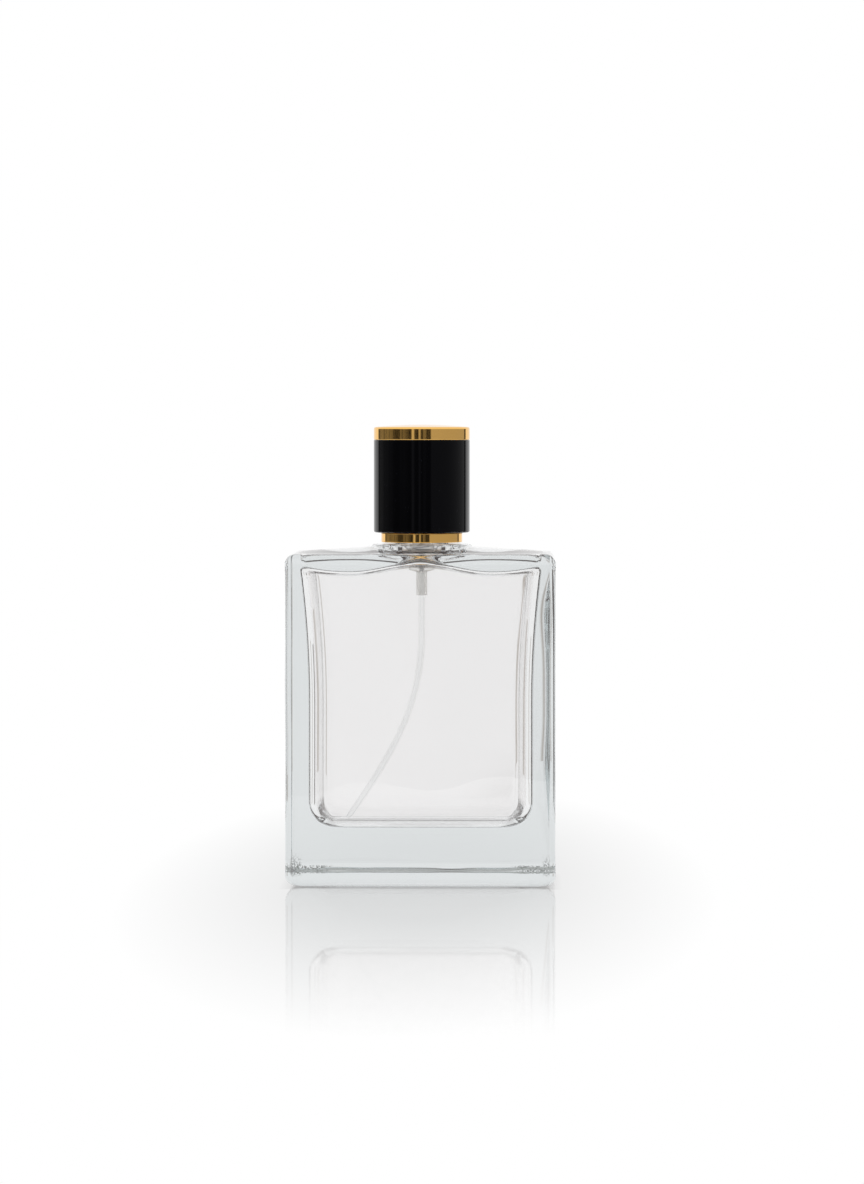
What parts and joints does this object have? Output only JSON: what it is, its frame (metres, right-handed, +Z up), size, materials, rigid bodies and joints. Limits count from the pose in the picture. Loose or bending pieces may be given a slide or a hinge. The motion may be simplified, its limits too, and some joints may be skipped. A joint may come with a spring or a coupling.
{
  "type": "spray bottle",
  "caption": "Flat rectangular clear glass spray bottle for aftershave, with a crimped atomiser pump, curved dip tube, gold collar and a black and gold lift-off cap.",
  "frame": {"origin": "centre of the base, on the surface that the bottle stands on", "axes": "+Z up along the pump's axis, -Y towards the broad front face, +X along the body's width"},
  "size_m": [0.068, 0.038, 0.1165],
  "materials": {
    "clear_glass": "polished clear",
    "gold_metal": "bright gold anodised",
    "black_gloss": "high gloss black",
    "bare_aluminium": "satin drawn",
    "white_plastic": "moulded satin",
    "natural_plastic": "moulded translucent",
    "clear_tube": "extruded translucent",
    "elastomer": "matte",
    "steel": "bright drawn wire and ground ball"
  },
  "bodies": {
    "bottle": {"glass_bottle": "clear_glass", "neck_gasket": "elastomer", "crimp_ferrule": "bare_aluminium", "collar_insert": "white_plastic", "collar_sleeve": "gold_metal", "pump_housing": "natural_plastic", "turret": "white_plastic", "stem_seal": "elastomer", "dip_tube": "clear_tube", "return_spring": "steel"},
    "ball": {"inlet_ball": "steel"},
    "plunger": {"stem": "white_plastic", "valve_pin": "white_plastic"},
    "piston": {"piston": "natural_plastic"},
    "actuator": {"actuator_core": "white_plastic", "actuator_shell": "gold_metal", "nozzle_insert": "white_plastic"},
    "cap": {"cap_shell": "black_gloss", "cap_top_band": "gold_metal", "cap_liner": "white_plastic"}
  },
  "joints": [
    {"name": "cap_lift", "type": "slide", "parent": "bottle", "child": "cap", "axis": [0, 0, 1], "range_m": [0, 0.04]},
    {"name": "pump_stroke", "type": "slide", "parent": "bottle", "child": "plunger", "axis": [0, 0, -1], "range_m": [0, 0.004], "stiffness_N_per_m": 1500, "springref_m": -0.003, "deforming": ["return_spring"]},
    {"name": "piston_travel", "type": "slide", "parent": "bottle", "child": "piston", "axis": [0, 0, -1], "range_m": [0, 0.0035]},
    {"name": "actuator_turn", "type": "hinge", "parent": "plunger", "child": "actuator", "pos_m": [0, 0, 0.1062], "axis": [0, 0, 1], "continuous": true},
    {"name": "ball_lift", "type": "slide", "parent": "bottle", "child": "ball", "axis": [0, 0, 1], "range_m": [0, 0.0006]}
  ],
  "couplings": [
    {"joint": "piston_travel", "follows": "pump_stroke", "ratio": 0.875}
  ]
}
